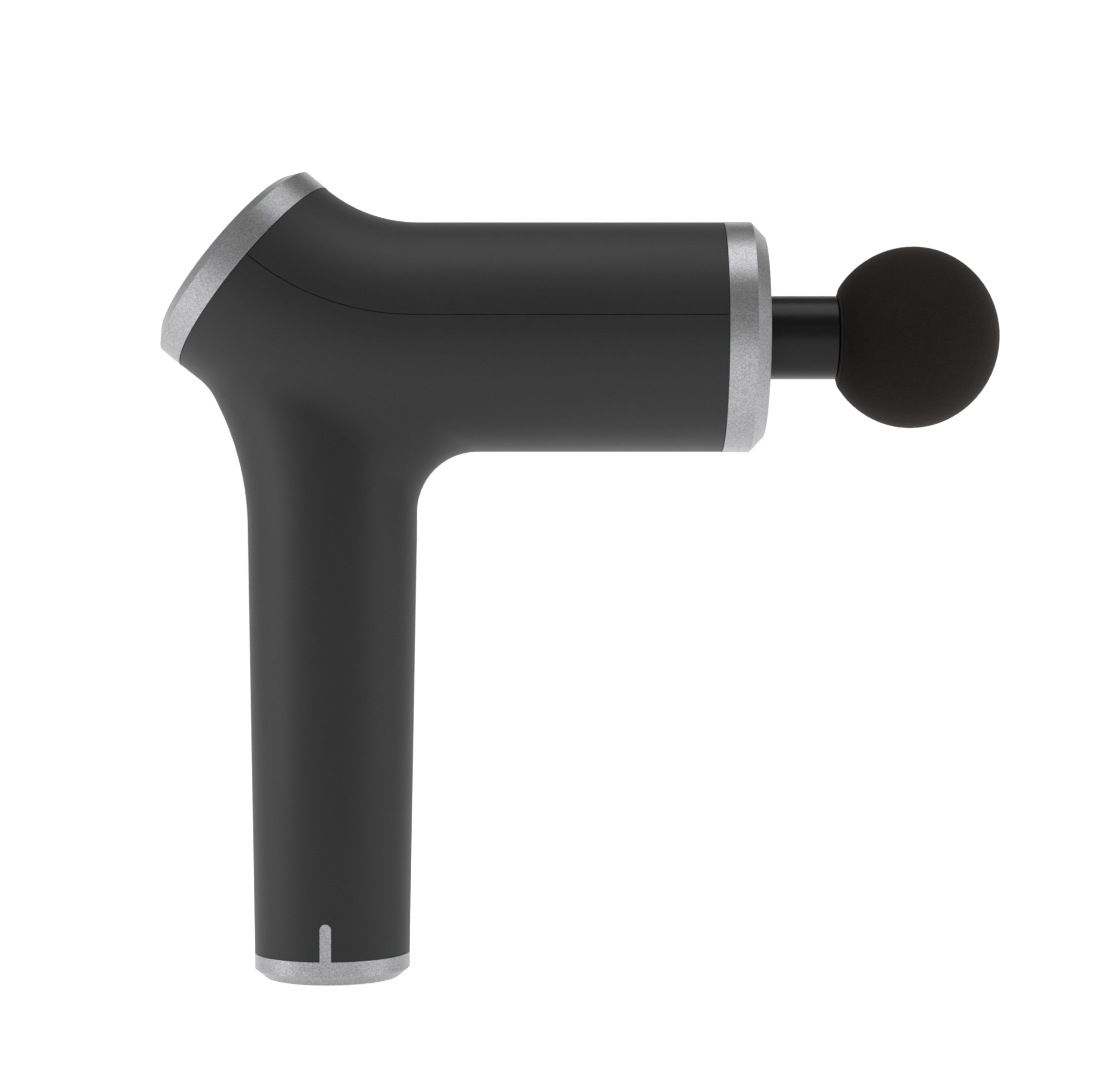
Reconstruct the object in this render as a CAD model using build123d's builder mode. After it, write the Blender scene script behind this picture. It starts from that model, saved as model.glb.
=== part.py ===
from build123d import *
import math
import os

# A pistol-shaped massage gun. Millimetres; +Z is up, +X points along the barrel to
# the massage ball, and the origin is the middle of the flat ring it stands on.

# ---------------------------------------------------------------- driving dimensions
# Outer body: a straight barrel that bends up into a tilted neck, on a tapered grip
BARREL_R = 31.9
BARREL_Z = 178.3
BARREL_FRONT_X = 108.7
BEND_R = 72.0
NECK_TILT = 39.75
NECK_CROSS_X = -1.7
GRIP_BOTTOM_R = 21.6
GRIP_TOP_R = 23.6
GRIP_BOTTOM_Z = 6.9
FLARE_R = 80.0
FLARE_START_DROP = 54.3
FLARE_END_DROP = 15.3
FLARE_STEP = 4.0
FLARE_TOP = ((-8.3, 12.4), (-0.3, 7.4), (7.7, 3.4))
CROTCH_R = 17.0
WALL = 1.8
SEAM_RISE = 2.7
SEAM_GAP = 0.3
LIP_T = 0.85
LIP_FIT = 0.1
LIP_H = 1.5
OVERRUN = 12.0

# Trim rings at the barrel's nose, the neck's end and the grip's foot
RING_R = 32.0
RING_GAP = 0.2
SPIGOT_FIT = 0.2
SPIGOT_T = 2.4
SPIGOT_L = 4.2
NOSE_RING_L = 7.8
NOSE_CHAMFER_L = 3.8
NOSE_CHAMFER_H = 4.0
REAR_RING_L = 7.0
REAR_CHAMFER_L = 2.6
REAR_CHAMFER_H = 3.4
FACE_RIM = 1.8
SEAT_H = 2.2
SEAT_T = 2.0
FOOT_FLAT_R = 18.5
FOOT_CHAMFER_Z = 2.5
FOOT_BORE_R = 16.0
FOOT_SEAT_R = 14.8
FOOT_SEAT_Z = 3.4
FOOT_SEAT_T = 2.0
FOOT_SPIGOT_TOP_Z = 12.0
TONGUE_W = 3.1
TONGUE_TOP_Z = 17.0
TONGUE_T = 0.9
TONGUE_FIT = 0.15

# Nose plate, wiper and screws
NOSE_PLATE_T = 2.4
NOSE_RECESS = 1.1
WIPER_T = 2.5
WIPER_LIP = 2.4
WIPER_CLEARANCE = 0.3
NOSE_SCREW_RING_OUT = 8.4
NOSE_SCREW_R = 1.4
NOSE_SCREW_HEAD_R = 2.6
NOSE_SCREW_HEAD_T = 1.4
NOSE_SCREW_BITE = 6.0
NOSE_BOSS_R = 3.4

# Control panel and electronics at the neck's end, measured along the neck's axis
PANEL_T = 2.5
PANEL_FIT = 0.2
PANEL_RECESS = 0.6
PANEL_RIM = FACE_RIM - 0.4
PANEL_SEAT_W = SEAT_T + 1.2
BUTTON_R = 8.0
BUTTON_FIT = 0.2
BUTTON_RISE = 0.8
BUTTON_CHAMFER = 0.4
BUTTON_FLANGE = 1.5
BUTTON_FLANGE_T = 1.1
BUTTON_TRAVEL = 0.8
BUTTON_STOP_GAP = 0.1
PANEL_POCKET_R = 10.0
PANEL_SKIN = 1.4
LIGHT_COUNT = 5
LIGHT_R = 0.9
LIGHT_ARC_R = 16.0
LIGHT_PITCH_DEG = 20.0
LIGHT_FIT = 0.1
BOARD_T = 1.6
BUTTON_BOARD_R = 26.0
SWITCH_SIDE = 6.0
SWITCH_T = 0.6
PLUNGER_R = 1.5
PLUNGER_T = 0.3
BOARD_SCREW_RING_R = 24.9
BOARD_SCREW_R = 0.7
BOARD_SCREW_HEAD_R = 1.3
BOARD_SCREW_HEAD_T = 0.9
BOARD_SCREW_BITE = 1.3
CONTROLLER_R = 22.0
CONTROLLER_S = -7.7
STANDOFF_RING_R = 18.5
STANDOFF_R = 1.6
TRANSISTOR = (5.0, 6.0, 1.6)
TRANSISTOR_PITCH = 7.0
CAPACITOR_R = 3.2
CAPACITOR_H = 6.5
CONNECTOR = (7.0, 4.5, 3.5)

# Battery: layers of three round cells in the grip
CELL_R = 9.1
CELL_L = 65.2
CELL_GAP = 0.6
STRIP_T = 0.25
STRIP_R = 4.0
HOLDER_R = 19.4
HOLDER_FLOOR = 1.75
HOLDER_CUP = 4.5
HOLDER_BAND = 10.0
HOLDER_FIT = 0.1
HOLDER_Z = 16.5
HOLDER_LUG_GAP = 0.4
LEAD_NOTCH = (5.5, 5.4)
POST_X = 11.5
POST_R = 2.6
POST_SHOULDER_R = 3.6

# Foot plate, charging socket, charge board and master switch
FOOT_PLATE_R = 15.8
FOOT_PLATE_T = 1.8
FOOT_SCREW_R = 1.1
FOOT_SCREW_HEAD_R = 2.2
FOOT_SCREW_HEAD_T = 1.0
SOCKET_Y = -8.5
SOCKET_R = 4.2
SOCKET_FIT = 0.1
SOCKET_BORE_R = 2.9
SOCKET_DEPTH = 8.5
SOCKET_PIN_R = 1.0
SOCKET_PIN_L = 7.0
SOCKET_FACE_Z = 1.2
CHARGE_BOARD_R = 18.9
CHARGE_BOARD_T = 1.4
CHARGE_CHIP = (5.0, 4.0, 1.2)
KNOB_Y = 8.5
KNOB_W = 2.4
KNOB_D = 2.2
KNOB_FACE_Z = 0.7
KNOB_TRAVEL = 3.0
KNOB_FIT = 0.3
KNOB_BASE = (5.0, 3.6, 2.0)
SWITCH_CASE = (12.0, 6.0)
SWITCH_CAVITY_H = 3.0

# Motor: a flat rotor bell turning about a vertical axis over the battery
MOUNT_DROP = 26.3
MOUNT_R = 20.9
MOUNT_T = 3.0
LUG_RING_R = 17.5
LUG_R = 3.0
LUG_WEB = 4.0
LUG_H = 10.0
LUG_ANGLE = 60.0
MOUNT_SCREW_R = 1.25
MOUNT_SCREW_HEAD_R = 2.5
MOUNT_SCREW_HEAD_T = 1.6
MOUNT_SCREW_L = 8.0
SHAFT_R = 2.5
BEARING_R = 6.5
BEARING_T = 4.0
BEARING_FIT = 0.05
BEARING_INSET = 0.5
TUBE_R = 8.0
TUBE_H = 10.4
STATOR_SHOULDER_R = 9.0
STATOR_SHOULDER_H = 2.0
STATOR_HUB_R = 9.8
STATOR_R = 16.6
STATOR_SHOE_T = 1.2
STATOR_T = 7.0
TOOTH_COUNT = 12
TOOTH_W = 2.0
SHOE_W = 6.6
WINDING_T = 1.0
AIR_GAP = 0.4
MAGNET_COUNT = 14
MAGNET_T = 1.3
MAGNET_W = 6.6
MAGNET_H = 9.0
BELL_T = 1.2
BELL_GAP = 1.0
BELL_H = 12.4
BELL_ROOF_T = 1.8
BELL_HUB_R = 5.5
BELL_VENT_COUNT = 6
BELL_VENT_R = 2.6
BELL_VENT_RING_R = 11.5

# Crank and yoke that turn the motor's turning into the ball's stroke
CRANK_R = 15.0
CRANK_T = 2.8
CRANK_GAP = 0.8
CRANK_THROW = 5.0
CRANK_WINDOW_R = 4.0
CRANK_WINDOW_X = 9.3
COUPLING_ERROR_SHARE = 0.2105
PIN_R = 2.0
PIN_SHOULDER_R = 3.2
PIN_SHOULDER_T = 3.0
ROLLER_R = 6.5
ROLLER_T = 6.2
ROLLER_FIT = 0.05
ROLLER_END_GAP = 0.2
CLIP_R = 4.6
CLIP_T = 0.8
PIN_END = 0.6
YOKE_T = 8.0
YOKE_SIDE = 4.35
YOKE_END = 4.0
YOKE_END_GAP = 0.5
YOKE_SIDE_GAP = 0.1
YOKE_CORNER_R = 3.0

# Guide blocks, bushes and plunger along the barrel
MID_BLOCK_X = 40.0
MID_BLOCK_T = 10.0
FRONT_BLOCK_BACK = 18.7
FRONT_BLOCK_T = 14.0
BLOCK_R = 26.4
DAMPER_W = 6.0
DAMPER_FIT = 0.15
DAMPER_CHAMFER = 0.8
DAMPER_GROOVE = 1.0
TIE_RING_R = 21.0
TIE_R = 2.2
TIE_COUNT = 3
TIE_START = 30.0
NUT_R = 3.8
NUT_T = 3.0
BLOCK_WINDOW_R = 3.2
ROD_R = 6.0
RUNNING_FIT = 0.05
BUSH_T = 2.4
ROD_BUSH_OVERHANG = 2.0
FRONT_BUSH_OVERHANG = 6.0
FRONT_BUSH_BACK = 2.0
BUSH_FLANGE = 2.0
SLEEVE_R = 11.6
SLEEVE_BACK_X = 84.0
SLEEVE_SHOW = 20.6
SLEEVE_SEAT = 6.0
SLEEVE_CHAMFER = 0.5
HEAD_BORE_R = 8.7
HEAD_BORE_L = 30.9

# Massage ball and its plug-in stem
BALL_R = 25.3
BALL_AXIAL_R = 24.4
BALL_CENTRE_OUT = 21.0
BALL_GAP = 0.3
STEM_L = 28.9
STEM_HEAD_R = 14.0
STEM_HEAD_T = 5.0
STEM_HEAD_OUT = 4.0
STEM_CHAMFER = 1.0
O_RING_R = 0.9
O_RING_DEPTH = 0.85
O_RING_AT = (7.0, 21.0)

# Leads: two from the battery at -Y, three from the motor at +Y
LEAD_R = 1.1
LEAD_X = -16.6
LEAD_YS = (-7.4, -5.0)
MOTOR_LEAD_R = 0.7
MOTOR_LEAD_YS = (4.2, 6.0, 7.8)
MOTOR_LEAD_START_X = -12.5
LEAD_BEND_R = 3.0
LEAD_OFF_MOUNT = 1.87
LEAD_STRAIGHT = 5.0
LEAD_BOARD_T = -17.0
GROOVE_SIDE = 1.0

# ---------------------------------------------------------------- frames and places
tilt = math.radians(NECK_TILT)
neck_dir = Vector(-math.cos(tilt), 0, math.sin(tilt))
neck_up = Vector(math.sin(tilt), 0, math.cos(tilt))
bend_x = NECK_CROSS_X + BEND_R * math.tan(tilt / 2)
bend_z = BARREL_Z + BEND_R
neck_x = bend_x - BEND_R * math.sin(tilt)
neck_z = bend_z - BEND_R * math.cos(tilt)

BARREL = Plane(origin=(0, 0, BARREL_Z), x_dir=(0, 1, 0), z_dir=(1, 0, 0))
BARREL_SECTION = Plane(origin=(0, 0, BARREL_Z), x_dir=(1, 0, 0), z_dir=(0, -1, 0))
BARREL_AXIS = Axis((0, 0, BARREL_Z), (1, 0, 0))
NECK = Plane(origin=(neck_x, 0, neck_z), x_dir=neck_up, z_dir=neck_dir)
NECK_SECTION = Plane(origin=(neck_x, 0, neck_z), x_dir=neck_dir, z_dir=(0, 1, 0))
NECK_AXIS = Axis((neck_x, 0, neck_z), neck_dir)

flare_start_z = BARREL_Z - FLARE_START_DROP
flare_end_z = BARREL_Z - FLARE_END_DROP
mount_z = BARREL_Z - MOUNT_DROP
mount_top_z = mount_z + MOUNT_T
nose_wall_x = BARREL_FRONT_X + NOSE_RING_L
nose_face_x = nose_wall_x + NOSE_CHAMFER_L
nose_face_r = RING_R - NOSE_CHAMFER_H
nose_seat_x = nose_face_x - SEAT_H - NOSE_RECESS
rear_face_s = REAR_RING_L + REAR_CHAMFER_L
rear_face_r = RING_R - REAR_CHAMFER_H
rear_seat_s = rear_face_s - PANEL_T - PANEL_RECESS
spigot_r = BARREL_R - WALL - SPIGOT_FIT
ring_bore_r = spigot_r - SPIGOT_T


# ---------------------------------------------------------------- shared shapes
def rods(plane, points, radius, length, mode=Mode.ADD):
    """Round bars that stand on the plane at the points, added or cut away."""
    with BuildSketch(plane) as ends:
        with Locations(*points):
            Circle(radius)
    extrude(ends.sketch, amount=length, mode=mode)


def blocks(plane, points, width, depth, height, mode=Mode.ADD):
    """Square-edged blocks that stand on the plane at the points."""
    with BuildSketch(plane) as ends:
        with Locations(*points):
            Rectangle(width, depth)
    extrude(ends.sketch, amount=height, mode=mode)


def turn(plane, axis, corners, mode=Mode.ADD):
    """The ring that a straight-sided outline sweeps about an axis."""
    with BuildSketch(plane) as section:
        with BuildLine():
            Polyline(*corners, close=True)
        make_face()
    revolve(section.sketch, axis=axis, mode=mode)


def around(radius, count, start=0.0):
    """Points spread evenly on a circle."""
    return [
        (
            radius * math.cos(math.radians(start + 360 * i / count)),
            radius * math.sin(math.radians(start + 360 * i / count)),
        )
        for i in range(count)
    ]


def pipe(inset, overrun):
    """The bent barrel, thinner by inset all round and longer by overrun at both ends."""
    with BuildPart() as tube:
        with BuildLine(Plane.XZ) as path:
            Line((BARREL_FRONT_X + overrun, BARREL_Z), (bend_x, BARREL_Z))
            CenterArc((bend_x, bend_z), BEND_R, 270 - NECK_TILT, NECK_TILT)
            if overrun > 0:
                end = Vector(neck_x, 0, neck_z) + neck_dir * overrun
                Line((neck_x, neck_z), (end.X, end.Z))
        with BuildSketch(BARREL.offset(BARREL_FRONT_X + overrun)):
            Circle(BARREL_R - inset)
        sweep(path=path.line)
    return tube.part


def grip_radius(z):
    """Outer radius of the grip, which widens evenly from its foot to the flare."""
    share = min(1.0, (z - GRIP_BOTTOM_Z) / (flare_start_z - GRIP_BOTTOM_Z))
    return GRIP_BOTTOM_R + (GRIP_TOP_R - GRIP_BOTTOM_R) * share


def grip_cone(inset, z0, z1):
    """The round, tapered stretch of the grip."""
    with BuildPart() as cone:
        with BuildSketch(Plane.XY.offset(z0)):
            Circle(grip_radius(z0) - inset)
        with BuildSketch(Plane.XY.offset(z1)):
            Circle(grip_radius(z1) - inset)
        loft()
    return cone.part


def flare_reach(z):
    """How far the grip reaches back at a height, along the arc of its flare."""
    rise = max(0.0, z - flare_start_z)
    return grip_radius(z) + FLARE_R - math.sqrt(FLARE_R**2 - rise**2)


def flare_sections():
    """Height, rear reach and side radius of each section where the grip flares back."""
    first = flare_start_z - 2 * FLARE_STEP
    count = int((flare_end_z - first) / FLARE_STEP)
    rows = []
    for i in range(count + 1):
        z = first + i * FLARE_STEP
        rows.append((z, flare_reach(z), grip_radius(z)))
    for above, reach in FLARE_TOP:
        rows.append((BARREL_Z + above, GRIP_TOP_R + reach, GRIP_TOP_R))
    return rows


def grip(inset, overrun):
    """The grip with its flare, which ends inside the barrel."""
    rows = flare_sections()
    faces = []
    for z, reach, radius in rows:
        with BuildSketch(Plane.XY.offset(z)) as section:
            with Locations(((radius - reach) / 2, 0)):
                if reach - radius < 1e-6:
                    Circle(radius - inset)
                else:
                    Ellipse((radius + reach) / 2 - inset, radius - inset)
        faces.append(section.sketch.faces()[0])
    cone = grip_cone(inset, GRIP_BOTTOM_Z - overrun, rows[0][0])
    with BuildPart() as handle:
        add(cone)
        loft(sections=faces)
    return handle.part


def body(inset, overrun):
    """Barrel, neck and grip in one, with the crotch between them rounded."""
    barrel = pipe(inset, overrun)
    handle = grip(inset, overrun)
    with BuildPart() as whole:
        add(barrel)
        add(handle)
        crotch = whole.edges().filter_by(
            lambda e: flare_start_z < e.center().Z < BARREL_Z
            and e.length > 2 * BARREL_R
            and e.geom_type == GeomType.BSPLINE
        )
        fillet(crotch, radius=CROTCH_R + inset)
    return whole.part


def above_seam(rise):
    """Everything over the seam between the two shells, lifted by rise."""
    seam_z = BARREL_Z + SEAM_RISE + rise
    radius = bend_z - seam_z
    far = Vector(bend_x, 0, bend_z) - neck_up * radius + neck_dir * 2 * OVERRUN
    corner = Vector(bend_x, 0, bend_z) - neck_up * radius
    top = bend_z + BARREL_R
    with BuildPart() as region:
        with BuildSketch(Plane.XZ):
            with BuildLine():
                Line((BARREL_FRONT_X + 2 * OVERRUN, seam_z), (bend_x, seam_z))
                CenterArc((bend_x, bend_z), radius, 270 - NECK_TILT, NECK_TILT)
                Line((corner.X, corner.Z), (far.X, far.Z))
                Line((far.X, far.Z), (far.X, top))
                Line((far.X, top), (BARREL_FRONT_X + 2 * OVERRUN, top))
                Line(
                    (BARREL_FRONT_X + 2 * OVERRUN, top),
                    (BARREL_FRONT_X + 2 * OVERRUN, seam_z),
                )
            make_face()
        extrude(amount=2 * BARREL_R, both=True)
    return region.part


def tongue_shape(width, top, depth):
    """A round-topped strip on the grip's -Y side, as deep as asked into its skin."""
    core = grip_cone(depth, 0, 2 * top)
    skin = grip_cone(0, 0, 2 * top)
    with BuildPart() as strip:
        with BuildSketch(Plane.XZ.offset(GRIP_BOTTOM_R - WALL - TONGUE_T)):
            with Locations((0, (GRIP_BOTTOM_Z + top - width / 2) / 2)):
                Rectangle(width, top - width / 2 - GRIP_BOTTOM_Z + 2 * RING_GAP)
            with Locations((0, top - width / 2)):
                Circle(width / 2)
        extrude(amount=2 * WALL + 2 * TONGUE_T)
        add(skin, mode=Mode.INTERSECT)
        add(core, mode=Mode.SUBTRACT)
    return strip.part


# ---------------------------------------------------------------- shells
outer = body(0.0, 0.0)
cavity = body(WALL, OVERRUN)
barrel_skin = pipe(0.0, 0.0)
barrel_cavity = pipe(WALL, OVERRUN)
lip_outside = pipe(WALL - LIP_T, 0.0)
rebate_outside = pipe(WALL - LIP_T - LIP_FIT, OVERRUN)
half_gap = SEAM_GAP / 2
above_lower = above_seam(-half_gap)
above_upper = above_seam(half_gap)
above_lip = above_seam(half_gap + LIP_H)
above_rebate = above_seam(half_gap + LIP_H + LIP_FIT)
below_lip_root = above_seam(-half_gap - LIP_H)
slot = tongue_shape(
    TONGUE_W + 2 * TONGUE_FIT, TONGUE_TOP_Z + TONGUE_FIT, TONGUE_T + LIP_FIT
)
lug_points = around(LUG_RING_R, 3, LUG_ANGLE)
side_reach = grip_radius(mount_z) - WALL / 2
rear_reach = flare_reach(mount_z - LUG_H) - WALL / 2
lug_reaches = (side_reach, rear_reach, side_reach)

with BuildPart() as lip:
    add(lip_outside)
    add(barrel_cavity, mode=Mode.SUBTRACT)
    add(below_lip_root, mode=Mode.INTERSECT)
    add(above_lip, mode=Mode.SUBTRACT)

with BuildPart() as mount_lugs:
    with BuildSketch(Plane.XY.offset(mount_z - LUG_H)):
        for i in range(3):
            reach = lug_reaches[i] - LUG_RING_R
            with PolarLocations(LUG_RING_R, 1, start_angle=LUG_ANGLE + 120 * i):
                Circle(LUG_R)
                with Locations((reach / 2, 0)):
                    Rectangle(reach, LUG_WEB)
        with Locations(*lug_points):
            Circle(MOUNT_SCREW_R, mode=Mode.SUBTRACT)
    extrude(amount=LUG_H)

with BuildPart() as rebate_cut:
    add(rebate_outside)
    add(above_rebate, mode=Mode.SUBTRACT)

with BuildPart() as lower_housing:
    add(outer)
    add(cavity, mode=Mode.SUBTRACT)
    add(above_lower, mode=Mode.SUBTRACT)
    add(lip.part)
    add(mount_lugs.part)
    add(slot, mode=Mode.SUBTRACT)

with BuildPart() as upper_housing:
    add(barrel_skin)
    add(barrel_cavity, mode=Mode.SUBTRACT)
    add(above_upper, mode=Mode.INTERSECT)
    add(rebate_cut.part, mode=Mode.SUBTRACT)

# ---------------------------------------------------------------- nose
seat_step = nose_face_r - FACE_RIM
nose_seat_r = seat_step - SEAT_T
nose_start_x = BARREL_FRONT_X + RING_GAP
front_block_x = BARREL_FRONT_X - FRONT_BLOCK_BACK
front_block_end_x = front_block_x + FRONT_BLOCK_T

with BuildPart() as front_ring:
    turn(
        BARREL_SECTION,
        BARREL_AXIS,
        [
            (BARREL_FRONT_X - SPIGOT_L, spigot_r),
            (nose_start_x, spigot_r),
            (nose_start_x, RING_R),
            (nose_wall_x, RING_R),
            (nose_face_x, nose_face_r),
            (nose_face_x, seat_step),
            (nose_seat_x, seat_step),
            (nose_seat_x, nose_seat_r),
            (nose_seat_x - SEAT_T, nose_seat_r),
            (nose_seat_x - SEAT_T, ring_bore_r),
            (BARREL_FRONT_X - SPIGOT_L, ring_bore_r),
        ],
    )

wiper_seat_r = SLEEVE_R + WIPER_LIP
nose_screw_points = around(SLEEVE_R + NOSE_SCREW_RING_OUT, 3, 90.0)
nose_plate_end_x = nose_seat_x + NOSE_PLATE_T
boss_l = nose_seat_x - front_block_end_x

with BuildPart() as nose_plate:
    rods(BARREL.offset(nose_seat_x), [(0, 0)], seat_step - PANEL_FIT, NOSE_PLATE_T)
    rods(BARREL.offset(front_block_end_x), nose_screw_points, NOSE_BOSS_R, boss_l)
    rods(
        BARREL.offset(nose_seat_x),
        [(0, 0)],
        wiper_seat_r,
        NOSE_PLATE_T,
        mode=Mode.SUBTRACT,
    )
    rods(
        BARREL.offset(front_block_end_x),
        nose_screw_points,
        NOSE_SCREW_R,
        boss_l + NOSE_PLATE_T,
        mode=Mode.SUBTRACT,
    )
    rods(
        BARREL.offset(nose_plate_end_x - NOSE_SCREW_HEAD_T),
        nose_screw_points,
        NOSE_SCREW_HEAD_R,
        NOSE_SCREW_HEAD_T,
        mode=Mode.SUBTRACT,
    )

with BuildPart() as nose_screws:
    rods(
        BARREL.offset(front_block_end_x - NOSE_SCREW_BITE),
        nose_screw_points,
        NOSE_SCREW_R,
        NOSE_SCREW_BITE + boss_l + NOSE_PLATE_T - NOSE_SCREW_HEAD_T,
    )
    rods(
        BARREL.offset(nose_plate_end_x - NOSE_SCREW_HEAD_T),
        nose_screw_points,
        NOSE_SCREW_HEAD_R,
        NOSE_SCREW_HEAD_T,
    )

wiper_r = SLEEVE_R + WIPER_CLEARANCE
wiper_x = nose_plate_end_x - NOSE_PLATE_T

with BuildPart() as shaft_wiper:
    turn(
        BARREL_SECTION,
        BARREL_AXIS,
        [
            (wiper_x, wiper_r + WIPER_T / 3),
            (wiper_x, wiper_seat_r),
            (nose_plate_end_x, wiper_seat_r),
            (nose_plate_end_x + WIPER_T / 5, wiper_seat_r - WIPER_T / 5),
            (nose_plate_end_x, wiper_r),
            (nose_plate_end_x - WIPER_T / 3, wiper_r),
        ],
    )

# ---------------------------------------------------------------- rear panel
rear_step_r = rear_face_r - PANEL_RIM
rear_seat_r = rear_step_r - PANEL_SEAT_W
board_top_s = rear_seat_s - SEAT_T
panel_top_s = rear_seat_s + PANEL_T
plunger_top_s = board_top_s + SWITCH_T + PLUNGER_T
button_bottom_s = plunger_top_s + BUTTON_TRAVEL + BUTTON_STOP_GAP
light_points = [
    (
        LIGHT_ARC_R * math.cos(math.radians(LIGHT_PITCH_DEG * (i - (LIGHT_COUNT - 1) / 2))),
        LIGHT_ARC_R * math.sin(math.radians(LIGHT_PITCH_DEG * (i - (LIGHT_COUNT - 1) / 2))),
    )
    for i in range(LIGHT_COUNT)
]

with BuildPart() as rear_ring:
    turn(
        NECK_SECTION,
        NECK_AXIS,
        [
            (-SPIGOT_L, spigot_r),
            (RING_GAP, spigot_r),
            (RING_GAP, RING_R),
            (REAR_RING_L, RING_R),
            (rear_face_s, rear_face_r),
            (rear_face_s, rear_step_r),
            (rear_seat_s, rear_step_r),
            (rear_seat_s, rear_seat_r),
            (board_top_s, rear_seat_r),
            (board_top_s, ring_bore_r),
            (-SPIGOT_L, ring_bore_r),
        ],
    )
    rods(
        NECK.offset(board_top_s),
        around(BOARD_SCREW_RING_R, 3, 180.0),
        BOARD_SCREW_R,
        BOARD_SCREW_BITE,
        mode=Mode.SUBTRACT,
    )

with BuildPart() as control_panel:
    rods(NECK.offset(rear_seat_s), [(0, 0)], rear_step_r - PANEL_FIT, PANEL_T)
    rods(
        NECK.offset(rear_seat_s),
        [(0, 0)],
        PANEL_POCKET_R,
        PANEL_T - PANEL_SKIN,
        mode=Mode.SUBTRACT,
    )
    rods(
        NECK.offset(rear_seat_s),
        [(0, 0)],
        BUTTON_R + BUTTON_FIT,
        PANEL_T,
        mode=Mode.SUBTRACT,
    )
    rods(
        NECK.offset(rear_seat_s),
        light_points,
        LIGHT_R + LIGHT_FIT,
        PANEL_T,
        mode=Mode.SUBTRACT,
    )

with BuildPart() as panel_lights:
    rods(NECK.offset(board_top_s), light_points, LIGHT_R, panel_top_s - board_top_s)

with BuildPart() as power_button:
    rods(
        NECK.offset(button_bottom_s), [(0, 0)], BUTTON_R + BUTTON_FLANGE, BUTTON_FLANGE_T
    )
    rods(
        NECK.offset(button_bottom_s),
        [(0, 0)],
        BUTTON_R,
        panel_top_s + BUTTON_RISE - button_bottom_s,
    )
    chamfer(power_button.faces().sort_by(Axis((0, 0, 0), neck_dir))[-1].edges(), BUTTON_CHAMFER)

with BuildPart() as button_board:
    rods(NECK.offset(board_top_s - BOARD_T), [(0, 0)], BUTTON_BOARD_R, BOARD_T)
    rods(
        NECK.offset(board_top_s - BOARD_T),
        around(BOARD_SCREW_RING_R, 3, 180.0),
        BOARD_SCREW_R,
        BOARD_T,
        mode=Mode.SUBTRACT,
    )

with BuildPart() as board_screws:
    rods(
        NECK.offset(board_top_s - BOARD_T),
        around(BOARD_SCREW_RING_R, 3, 180.0),
        BOARD_SCREW_R,
        BOARD_T + BOARD_SCREW_BITE,
    )
    rods(
        NECK.offset(board_top_s - BOARD_T - BOARD_SCREW_HEAD_T),
        around(BOARD_SCREW_RING_R, 3, 180.0),
        BOARD_SCREW_HEAD_R,
        BOARD_SCREW_HEAD_T,
    )

with BuildPart() as tact_switch:
    blocks(NECK.offset(board_top_s), [(0, 0)], SWITCH_SIDE, SWITCH_SIDE, SWITCH_T)
    rods(NECK.offset(board_top_s + SWITCH_T), [(0, 0)], PLUNGER_R, PLUNGER_T)

controller_top_s = CONTROLLER_S + BOARD_T
standoff_points = around(STANDOFF_RING_R, 3, 0.0)
transistor_points = [
    (x, y)
    for x in (-TRANSISTOR_PITCH / 2, TRANSISTOR_PITCH / 2)
    for y in (-TRANSISTOR_PITCH, 0, TRANSISTOR_PITCH)
]

with BuildPart() as controller_board:
    rods(NECK.offset(CONTROLLER_S), [(0, 0)], CONTROLLER_R, BOARD_T)

with BuildPart() as board_standoffs:
    rods(
        NECK.offset(controller_top_s),
        standoff_points,
        STANDOFF_R,
        board_top_s - BOARD_T - controller_top_s,
    )

with BuildPart() as power_transistors:
    blocks(NECK.offset(controller_top_s), transistor_points, *TRANSISTOR)

with BuildPart() as filter_capacitors:
    rods(
        NECK.offset(controller_top_s),
        [(-2 * CAPACITOR_R * 2, -CAPACITOR_R * 1.3), (-2 * CAPACITOR_R * 2, CAPACITOR_R * 1.3)],
        CAPACITOR_R,
        CAPACITOR_H,
    )

with BuildPart() as board_connectors:
    blocks(
        NECK.offset(controller_top_s),
        [(CONTROLLER_R / 2, -CONTROLLER_R / 2), (CONTROLLER_R / 2, CONTROLLER_R / 2)],
        *CONNECTOR,
    )

# ---------------------------------------------------------------- foot
tongue = tongue_shape(TONGUE_W, TONGUE_TOP_Z, TONGUE_T)
foot_top_z = GRIP_BOTTOM_Z - RING_GAP
foot_spigot_r = GRIP_BOTTOM_R - WALL - SPIGOT_FIT
foot_plate_z = FOOT_SEAT_Z - FOOT_PLATE_T
post_points = [(-POST_X, 0), (POST_X, 0)]
charge_board_top_z = FOOT_SPIGOT_TOP_Z + CHARGE_BOARD_T

with BuildPart() as base_ring:
    turn(
        Plane.XZ,
        Axis.Z,
        [
            (FOOT_BORE_R, 0),
            (FOOT_FLAT_R, 0),
            (GRIP_BOTTOM_R, FOOT_CHAMFER_Z),
            (GRIP_BOTTOM_R, foot_top_z),
            (foot_spigot_r, foot_top_z),
            (foot_spigot_r, FOOT_SPIGOT_TOP_Z),
            (foot_spigot_r - SEAT_T, FOOT_SPIGOT_TOP_Z),
            (foot_spigot_r - SEAT_T, FOOT_SEAT_Z + FOOT_SEAT_T),
            (FOOT_SEAT_R, FOOT_SEAT_Z + FOOT_SEAT_T),
            (FOOT_SEAT_R, FOOT_SEAT_Z),
            (FOOT_BORE_R, FOOT_SEAT_Z),
        ],
    )
    add(tongue)

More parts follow.
